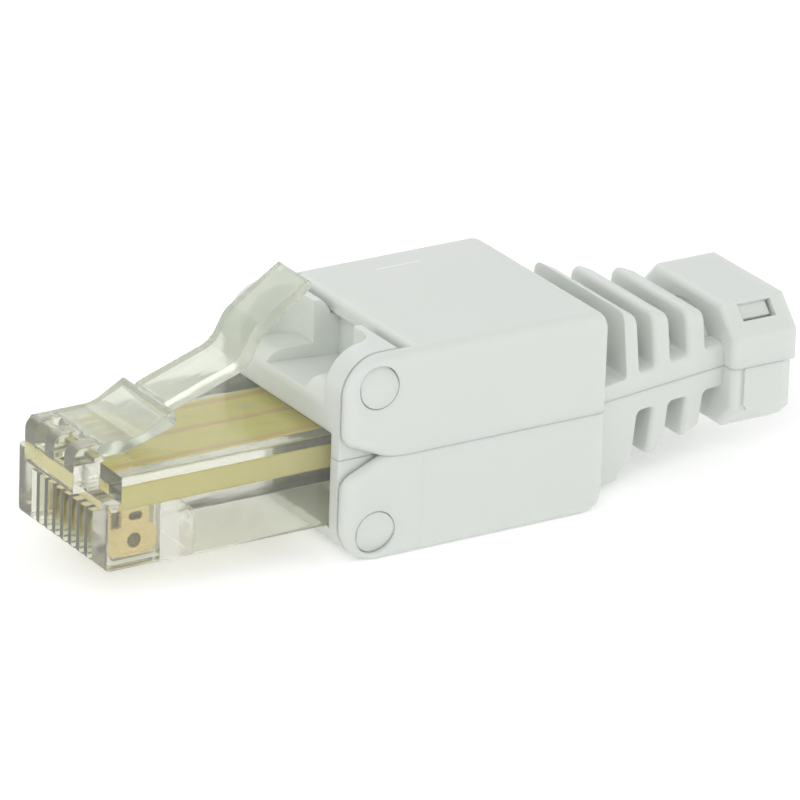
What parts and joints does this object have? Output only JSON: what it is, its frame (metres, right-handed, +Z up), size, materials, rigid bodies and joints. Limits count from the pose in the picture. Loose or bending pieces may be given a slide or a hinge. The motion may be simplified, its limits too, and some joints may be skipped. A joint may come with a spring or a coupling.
{
  "type": "ethernet connector",
  "caption": "Tool-free network plug with a clear nose, spring latch, gold contacts and circuit board, and hinged white covers that close into a ribbed cable boot.",
  "frame": {"origin": "middle of the plug's length and width, on the surface that the lower cover rests on", "axes": "+X from the mating nose towards the cable boot, +Y across the plug, +Z up through the latch side"},
  "size_m": [0.0534, 0.0156, 0.0177],
  "materials": {
    "clear_plastic": "clear moulded polycarbonate",
    "white_plastic": "satin moulded white",
    "board_laminate": "glass-fibre laminate under clear lacquer",
    "gold_plate": "gold-plated bronze",
    "tin_plate": "tin-plated bronze"
  },
  "bodies": {
    "plug": {"plug_nose": "clear_plastic", "contact_1": "gold_plate", "contact_2": "gold_plate", "contact_3": "gold_plate", "contact_4": "gold_plate", "contact_5": "gold_plate", "contact_6": "gold_plate", "contact_7": "gold_plate", "contact_8": "gold_plate", "circuit_board": "board_laminate", "idc_terminal_upper_1": "tin_plate", "idc_terminal_upper_2": "tin_plate", "idc_terminal_upper_3": "tin_plate", "idc_terminal_upper_4": "tin_plate", "idc_terminal_lower_1": "tin_plate", "idc_terminal_lower_2": "tin_plate", "idc_terminal_lower_3": "tin_plate", "idc_terminal_lower_4": "tin_plate", "core_upper": "white_plastic", "core_lower": "white_plastic"},
    "latch_arm": {"latch": "clear_plastic"},
    "upper_half": {"upper_cover": "white_plastic"},
    "lower_half": {"lower_cover": "white_plastic"}
  },
  "joints": [
    {"name": "latch_press", "type": "hinge", "parent": "plug", "child": "latch_arm", "pos_m": [-0.0244, 0, 0.00945], "axis": [0, 1, 0], "range_deg": [0, 12], "stiffness_Nm_per_rad": 0.1},
    {"name": "upper_cover_hinge", "type": "hinge", "parent": "plug", "child": "upper_half", "pos_m": [-0.00705, 0, 0.01208], "axis": [0, 1, 0], "range_deg": [-70, 0]},
    {"name": "lower_cover_hinge", "type": "hinge", "parent": "plug", "child": "lower_half", "pos_m": [-0.00705, 0, 0.00208], "axis": [0, 1, 0], "range_deg": [0, 70]}
  ]
}
